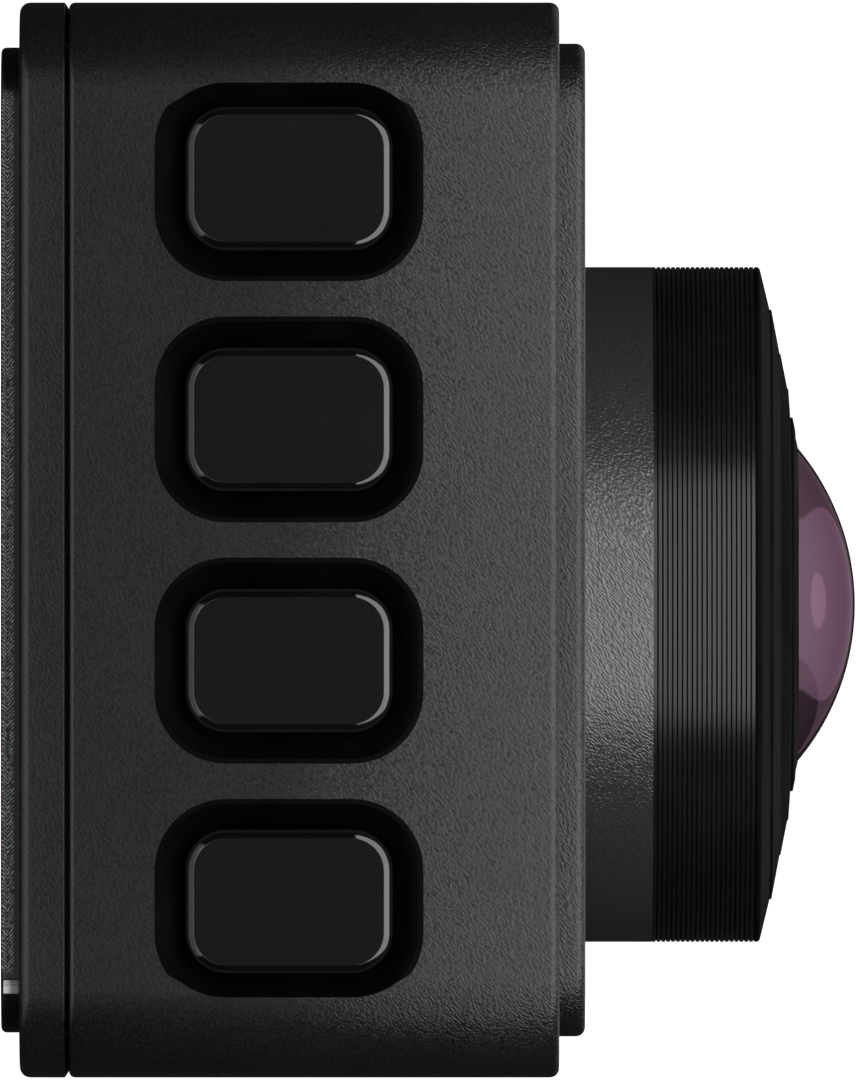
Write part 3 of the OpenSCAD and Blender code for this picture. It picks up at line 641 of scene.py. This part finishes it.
# the card slot and the row of speaker holes
def bottomCuts():
    card = middle("memory_card")
    edge, depth = housing["slotEdge"], housing["bottomCut"]
    length, width = (side + 2 * edge for side in housing["slot"])
    slot = hole(slab(length, width, housing["slotCorner"] + edge, 0, clear, cornerSteps=4), edge, depth)
    forms = [moved(slot, Matrix.Translation((card.x, card.y, 0)) @ underSide)]
    row = housing["speaker"]
    for i in range(-row["each side"], row["each side"] + 1):
        where = Matrix.Translation((row["x"] + i * row["pitch"], back / mm - row["depth"], 0)) @ underSide
        forms.append(moved(hole(plug(row["radius"] + row["edge"], 0, clear, 32), row["edge"], depth), where))
    return together(forms)


def portCut():
    port = middle("port_shell")
    edge = housing["portEdge"]
    width, height = (side + 2 * edge for side in housing["port"])
    form = hole(slab(width, height, housing["portCorner"] + edge, 0, clear), edge, housing["portCut"])
    where = Matrix.Translation((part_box("front_housing")[1].x / mm, port.y, port.z)) @ farSide
    return moved(form, where)


def buildHousing():
    seam, face = stations("front_housing")
    wide = size("front_housing")
    wall = housing["wall"]
    shell = slab(wide.x, wide.z, housing["corner"], seam + housing["seamGap"], face, housing["seamEdge"],
                 housing["frontEdge"])
    obj = standIn("housingShell", moved(shell, bodyMiddle), grainShell)
    cavity = slab(wide.x - wall - housing["keyWall"], wide.z - 2 * wall, housing["corner"] - wall, seam - 1,
                  face - housing["frontWall"])
    dishes, windows = keyCuts()
    carve(obj, [
        ("DIFFERENCE", moved(cavity, Matrix.Translation((aside, 0, 0)) @ bodyMiddle), grainShell),
        ("DIFFERENCE", dishes, dishGloss),
        ("DIFFERENCE", windows, dishGloss),
        ("DIFFERENCE", frontCuts(face), grainShell),
        ("DIFFERENCE", bottomCuts(), grainShell),
        ("DIFFERENCE", portCut(), grainShell),
    ])
    return finishPiece(obj, "camera", ["front_housing"])


buildHousing()


# rear frame, bezel and cover glass

rear = {
    "corner": 4.0, "backEdge": 0.4, "seamEdge": 0.03, "seamGap": 0.1, "frameDepth": 1.82,
    "pocketCorner": 2.4, "pocketGap": 0.1, "pocketDepth": 1.35, "trayGap": 0.2,
    "lipCorner": 2.4, "lipWall": 0.8, "lipLength": 0.75, "lipGap": 0.1, "lipRoot": 0.3,
    "stand": 0.7, "bezelCorner": 2.6, "bezelEdge": 0.2, "neck": 0.25, "neckRoot": 0.3, "neckEnd": 1.2,
    "border": 2, "clipGap": 0.05,
    "glassCorner": 1.55, "glassEdge": 0.12, "glassBackEdge": 0.02, "glassGap": 0.1, "glassDepth": 0.86,
}


def buildFrame():
    wide = size("rear_frame")
    start = rear["stand"]
    seam = start + rear["frameDepth"]
    form = slab(wide.x, wide.z, rear["corner"], start, seam - rear["seamGap"], rear["backEdge"],
                rear["seamEdge"])
    obj = standIn("rearFrame", moved(form, bodyMiddle), grainShell)
    bezel = size("display_bezel")
    inset = rear["pocketGap"] - 2 * rear["neck"]
    pocket = slab(bezel.x + inset, bezel.z + inset, rear["pocketCorner"], 0, rear["pocketDepth"])
    tray = size("lcd_tray")
    opening = slab(tray.x + rear["trayGap"], tray.z + rear["trayGap"], 0, 0, 5)
    opening = moved(opening, Matrix.Translation((middle("lcd_tray").x, 0, 0)))
    lipWide = wide.x - housing["wall"] - housing["keyWall"] - rear["lipGap"]
    lipTall = wide.z - 2 * housing["wall"] - rear["lipGap"]
    wall = rear["lipWall"]
    sideways = Matrix.Translation((aside, 0, 0))
    lip = slab(lipWide, lipTall, rear["lipCorner"], seam - rear["lipRoot"], seam + rear["lipLength"])
    hollow = slab(lipWide - 2 * wall, lipTall - 2 * wall, rear["lipCorner"] - wall, seam, seam + 2)
    carve(obj, [
        ("UNION", moved(moved(lip, sideways), bodyMiddle), grainShell),
        ("DIFFERENCE", moved(moved(hollow, sideways), bodyMiddle), grainShell),
        ("DIFFERENCE", moved(pocket, bodyMiddle), grainShell),
        ("DIFFERENCE", moved(opening, bodyMiddle), grainShell),
    ])
    return finishPiece(obj, "camera", ["rear_frame"])


def buildBezel():
    bezel = size("display_bezel")
    start = rear["stand"]
    inset = 2 * rear["neck"]
    form = slab(bezel.x, bezel.z, rear["bezelCorner"], 0, start, rear["bezelEdge"], 0)
    obj = standIn("screenBezel", moved(form, bodyMiddle), bezelSatin)
    neck = slab(bezel.x - inset, bezel.z - inset, rear["bezelCorner"] - rear["neck"], start - rear["neckRoot"],
                rear["neckEnd"])
    glass = size("display_glass")
    gap = rear["glassGap"]
    pocket = slab(glass.x + gap, glass.z + gap, rear["glassCorner"] + gap / 2, -1, rear["glassDepth"])
    tray = size("lcd_tray")
    window = moved(slab(tray.x - rear["border"], tray.z - rear["border"], 0, 0, 3),
                   Matrix.Translation((middle("lcd_tray").x, 0, 0)))
    clip = bmesh.new()
    bmesh.ops.create_cube(clip, size=1)
    bmesh.ops.scale(clip, vec=size("bezel_clip") + Vector((rear["clipGap"],) * 3), verts=clip.verts)
    carve(obj, [
        ("UNION", moved(neck, bodyMiddle), bezelSatin),
        ("DIFFERENCE", moved(pocket, bodyMiddle), bezelSatin),
        ("DIFFERENCE", moved(window, bodyMiddle), bezelSatin),
        ("DIFFERENCE", moved(clip, Matrix.Translation(middle("bezel_clip"))), bezelSatin),
    ])
    return finishPiece(obj, "camera", ["display_bezel"])


def buildCoverGlass():
    glass = size("display_glass")
    form = slab(glass.x, glass.z, rear["glassCorner"], *stations("display_glass"), rear["glassEdge"],
                rear["glassBackEdge"], edgeSteps=3)
    return finishPiece(standIn("coverGlass", moved(form, bodyMiddle), coverGlass), "camera", ["display_glass"])


# the folded spring clip: a backing strip with a wide foot and two thin leaves above it
def buildClip():
    low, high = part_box("bezel_clip")
    low, high = low / mm, high / mm
    leaves = {"foot": (0.02, 0.31), "first": (0.37, 0.415), "second": (0.47, 0.505), "strip": 0.1}
    bm = bmesh.new()
    bmesh.ops.create_cube(bm, size=1)
    bmesh.ops.scale(bm, vec=(leaves["strip"], high.y - low.y, high.z - low.z), verts=bm.verts)
    bmesh.ops.translate(bm, vec=(high.x - leaves["strip"] / 2, (low.y + high.y) / 2, (low.z + high.z) / 2),
                        verts=bm.verts)
    spans = [leaves[name] for name in ("foot", "first", "second")]
    for span in spans:
        for level in span:
            bmesh.ops.bisect_plane(bm, geom=bm.verts[:] + bm.edges[:] + bm.faces[:], dist=0.0001,
                                   plane_co=(0, 0, low.z + level), plane_no=(0, 0, 1))
    for start, end in spans:
        outer = [f for f in bm.faces if f.normal.x < -0.9
                 and start < f.calc_center_median().z - low.z < end]
        grown = bmesh.ops.extrude_face_region(bm, geom=outer)["geom"]
        bmesh.ops.delete(bm, geom=outer, context="FACES_ONLY")
        verts = [v for v in grown if isinstance(v, bmesh.types.BMVert)]
        bmesh.ops.translate(bm, vec=(low.x - high.x + leaves["strip"], 0, 0), verts=verts)
    sharp = [e for e in bm.edges if e.is_manifold and e.calc_face_angle() > 0.6]
    roundOff(bm, sharp, 0.008, 2)
    return finishPiece(standIn("bezelClip", bm, steel), "camera", ["bezel_clip"])


buildFrame()
buildBezel()
buildCoverGlass()
buildClip()


# front plate and mount seat

front = {"corner": 2.9, "edge": 0.35, "holeEdge": 0.12, "holeDepth": 2, "discEdge": 0.12}


def buildFrontPlate():
    first, last = stations("front_plate")
    wide = size("front_plate")
    form = slab(wide.x, wide.z, front["corner"], first, last, 0, front["edge"])
    obj = standIn("frontPlate", moved(form, bodyMiddle), grainShell)
    edge = front["holeEdge"]
    cuts = [moved(hole(plug(radius + edge, 0, clear, sides), edge, front["holeDepth"]), where)
            for where, radius, sides in frontHoles(last).values()]
    carve(obj, [("DIFFERENCE", together(cuts), grainShell)])
    return finishPiece(obj, "camera", ["front_plate"])


def buildSeatDisc():
    disc = size("seat_disc")
    bm = plug(disc.x / 2, -disc.y / 2, disc.y / 2, housing["sides"])
    roundOff(bm, edgesAt(bm, disc.y / 2), front["discEdge"], 3)
    moved(bm, Matrix.Translation(middle("seat_disc")) @ frontSide)
    return finishPiece(standIn("seatDisc", bm, steel), "camera", ["seat_disc"])


buildFrontPlate()
buildSeatDisc()


# keys

key = {
    "cap": (7.59, 5.2, 1.43), "chamfer": (0.2, 0.115), "crease": 0.01,
    "flange": 0.55, "flangeDepth": 0.5, "flangeGap": 0.05, "stem": 0.9, "overlap": 0.1,
}


def buildKey(name):
    low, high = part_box("key_" + name)
    place = middle("key_" + name)
    length, height, corner = key["cap"]
    rise = keySideX / mm - low.x / mm  # the cap's face lies below the side
    flangeTop = -housing["keyWall"] - key["flangeGap"]
    across, drop = key["chamfer"]
    bm = slab(length, height, corner, flangeTop - key["overlap"], rise - drop)
    bmesh.ops.inset_region(bm, faces=faceAt(bm, rise - drop), thickness=across, depth=drop,
                           use_even_offset=True)
    creases = [e for e in bm.edges if e.is_manifold and 0.4 < e.calc_face_angle() < 1.5
               and max(v.co.z for v in e.verts) > rise - drop - tiny]
    roundOff(bm, creases, key["crease"], 3)
    where = Matrix.Translation((keySideX / mm, place.y, place.z)) @ keySide
    obj = standIn("key" + name.capitalize(), moved(bm, where), keyGloss)
    flange = slab(length + 2 * key["flange"], height + 2 * key["flange"], corner + key["flange"],
                  flangeTop - key["flangeDepth"], flangeTop)
    stem = plug(key["stem"], (keySideX - high.x) / mm, flangeTop - 2 * key["overlap"], 32)
    carve(obj, [
        ("UNION", moved(flange, where), keyGloss),
        ("UNION", moved(stem, where), keyGloss),
    ])
    return finishPiece(obj, name + "_key", ["key_" + name], crisp=50)


for name in keyNames:
    buildKey(name)


# lens; the profiles are [radius, depth behind the retaining ring's face]

lens = {
    "bore": 9.9, "sleeve": 10.9, "boss": 11.4, "outer": 13.09, "gap": 0.05,
    "ribs": 21, "pitch": 0.189, "ribDepth": 0.08, "crest": 0.66,
    "ledge": 1.4, "coneOut": 11.44, "coneIn": 7.3,
    "cone": [(11.44, 1.02), (9.75, 0.705), (9.7, 0.66), (8.4, 0.405), (8.35, 0.36), (7.3, 0.29)],
    "retaining": [(6.14, 0.66), (7.25, 0.66), (7.25, 0.19), (6.75, 0.09), (6.7, 0.13), (6.14, 0)],
    "dome": 9.43, "face": 6.08, "domeSteps": 28, "brim": [(6.08, 0.71), (7.1, 0.71), (7.1, 2.11)],
    "inner": 6.0, "innerBehindTip": 7.68, "innerSteps": 20,
}


def behind(face, points):
    return [(radius, face - depth) for radius, depth in points]


def buildBoss():
    bossBack, sleeveEnd = stations("lens_boss")
    plate = stations("front_plate")[1]
    ribStart = stations("grip_ring")[0]
    bore, boss, sleeve, outer = (lens[part] for part in ("bore", "boss", "sleeve", "outer"))
    # the boss wears the lit copy of the shell grain: its paler colour is painted highlight
    return turnedPiece("lensBoss", [
        (bore, bossBack), (boss, bossBack), (boss, plate), (outer, plate),
        (outer, ribStart), (sleeve, ribStart), (sleeve, sleeveEnd), (bore, sleeveEnd),
    ], grainBossLitCopy, "lens_boss", 0.03)


def buildGripRing():
    start, end = stations("grip_ring")
    outer, pitch = lens["outer"], lens["pitch"]
    crest = lens["crest"] * pitch
    profile = [(lens["sleeve"] + lens["gap"], start)]
    for i in range(lens["ribs"]):
        rib = start + i * pitch
        profile += [(outer, rib), (outer, rib + crest), (outer - lens["ribDepth"], rib + (crest + pitch) / 2)]
    profile += [(outer, start + lens["ribs"] * pitch), (outer, end), (lens["sleeve"] + lens["gap"], end)]
    return turnedPiece("gripRing", profile, ringMetal, "grip_ring", 0, 192, 30)


def buildConeRings():
    ribEnd = stations("grip_ring")[1]
    face = stations("retaining_ring")[1]
    outer, bore = lens["outer"], lens["bore"] + 2 * lens["gap"]
    seat = lens["coneOut"] + 0.04
    wedge = behind(face, [(outer, 1.55), (outer - 0.08, 1.47), (seat, 1.1), (seat, lens["ledge"]),
                          (bore, lens["ledge"])])
    turnedPiece("bezelRing", [(bore, ribEnd), (outer, ribEnd)] + wedge, coneMetal, "bezel_ring", 0.025)
    foot = lens["ledge"] - lens["gap"]
    cone = behind(face, [(lens["coneIn"], foot), (lens["coneOut"], foot)] + lens["cone"])
    turnedPiece("coneRing", cone, coneMetal, "cone_ring", 0.02)
    turnedPiece("retainingRing", behind(face, lens["retaining"]), coneMetal, "retaining_ring", 0.015)


def buildFrontLens():
    tip = stations("front_lens")[1]
    face = stations("retaining_ring")[1]
    dome, inner = lens["dome"], lens["inner"]
    domeMiddle = tip - dome
    innerMiddle = tip - lens["innerBehindTip"]
    brim = behind(face, lens["brim"])
    outerReach = math.asin(lens["face"] / dome)
    innerReach = math.acos((brim[-1][1] - innerMiddle) / inner)
    outerArc = [i / lens["domeSteps"] * outerReach for i in range(lens["domeSteps"] + 1)]
    innerArc = [i / lens["innerSteps"] * innerReach for i in range(lens["innerSteps"] + 1)]
    points = [(dome * math.sin(a), domeMiddle + dome * math.cos(a)) for a in outerArc] + brim
    points += [(inner * math.sin(a), innerMiddle + inner * math.cos(a)) for a in reversed(innerArc)]
    return turnedPiece("frontLens", points, violetGlass, "front_lens", 0, closed=False)


buildBoss()
buildGripRing()
buildConeRings()
buildFrontLens()


# the nodes that stay as they are

def dressNodes():
    for name, obj in nodes.items():
        if not obj.hide_render:
            obj.data.materials.clear()
            obj.data.materials.append(slotFinishes[slotOf[name]])


dressNodes()
print("nodes dressed")


# floor, backdrop and light

def buildFloor():
    room = {"floor": 3.0, "glow": 1.1}
    bm = bmesh.new()
    bmesh.ops.create_grid(bm, x_segments=1, y_segments=1, size=room["floor"])
    mesh = bpy.data.meshes.new("floor")
    bm.to_mesh(mesh)
    bm.free()
    floor = bpy.data.objects.new("floor", mesh)
    floor.location.z = cadLow.z
    bpy.context.scene.collection.objects.link(floor)
    pale = Finish("pale floor")
    speck = pale.noise(pale.place(), 40, 3.0)
    mesh.materials.append(pale.close({
        "Base Color": pale.blendShades(speck, (0.9, 0.9, 0.9, 1), (0.94, 0.94, 0.94, 1)),
        "Roughness": 0.8,
        "Specular IOR Level": 0.0,
        "Emission Color": (1, 1, 1, 1),
        "Emission Strength": room["glow"],
    }))
    floor.visible_diffuse = False
    floor.visible_glossy = False
    floor.visible_transmission = False
    floor.visible_shadow = False


# panels: where their middles are and what they face, in mm, their shape, size and brightness
panels = {
    "cameraPanel": {
        "at": (-520, 10, 20), "facing": (0, 10, 20), "form": "RECTANGLE", "size": (700, 700), "glow": 0.1},
    "rearPanel": {
        "at": (-374, 210, 20), "facing": (-28, 10, 20), "form": "RECTANGLE", "size": (350, 600), "glow": 0.92},
    "nearPanel": {
        "at": (-68, -78, 25), "facing": (0, -78, 25), "form": "RECTANGLE", "size": (144, 140), "glow": 2.6},
    "leftPanel": {
        "at": (-90, 150, 20), "facing": (-28, 10, 20), "form": "RECTANGLE", "size": (160, 260), "glow": 0.6},
    "upperPanel": {
        "at": (520, -560, 200), "facing": (12, -8, 18), "form": "RECTANGLE", "size": (1000, 900), "glow": 0.22},
    "farPanel": {
        "at": (342, -308, 18), "facing": (342, 0, 18), "form": "ELLIPSE", "size": (1200, 280), "glow": 0.3},
    "lensSpot": {
        "at": (222, -448, 26), "facing": (12, -8, 18), "form": "DISK", "size": (118, 118), "glow": 0.28},
}


def buildLights():
    for name, panel in panels.items():
        data = bpy.data.lights.new(name, "AREA")
        data.shape = panel["form"]
        data.size, data.size_y = (edge * mm for edge in panel["size"])
        data.energy = panel["glow"] * math.pi * data.size * data.size_y
        light = bpy.data.objects.new(name, data)
        light.location = Vector(panel["at"]) * mm
        aim = (Vector(panel["facing"]) - Vector(panel["at"])).to_track_quat("-Z", "Y")
        light.rotation_euler = aim.to_euler()
        light.visible_camera = False
        bpy.context.scene.collection.objects.link(light)


backdrop = {"lighting": 0.02, "seen": 1.2}


def buildWorld():
    world = bpy.data.worlds.new("studio")
    world.use_nodes = True
    bpy.context.scene.world = world
    tree = world.node_tree
    tree.nodes.clear()
    seen = tree.nodes.new("ShaderNodeLightPath")
    mix = tree.nodes.new("ShaderNodeMix")
    mix.data_type = "FLOAT"
    mix.inputs[2].default_value = backdrop["lighting"]
    mix.inputs[3].default_value = backdrop["seen"]
    light = tree.nodes.new("ShaderNodeBackground")
    light.inputs["Color"].default_value = (1, 1, 1, 1)
    out = tree.nodes.new("ShaderNodeOutputWorld")
    tree.links.new(seen.outputs["Is Camera Ray"], mix.inputs[0])
    tree.links.new(mix.outputs[0], light.inputs["Strength"])
    tree.links.new(light.outputs[0], out.inputs["Surface"])


buildFloor()
buildLights()
buildWorld()
bpy.context.scene.view_settings.view_transform = "Standard"
print("floor, lights and backdrop ready")
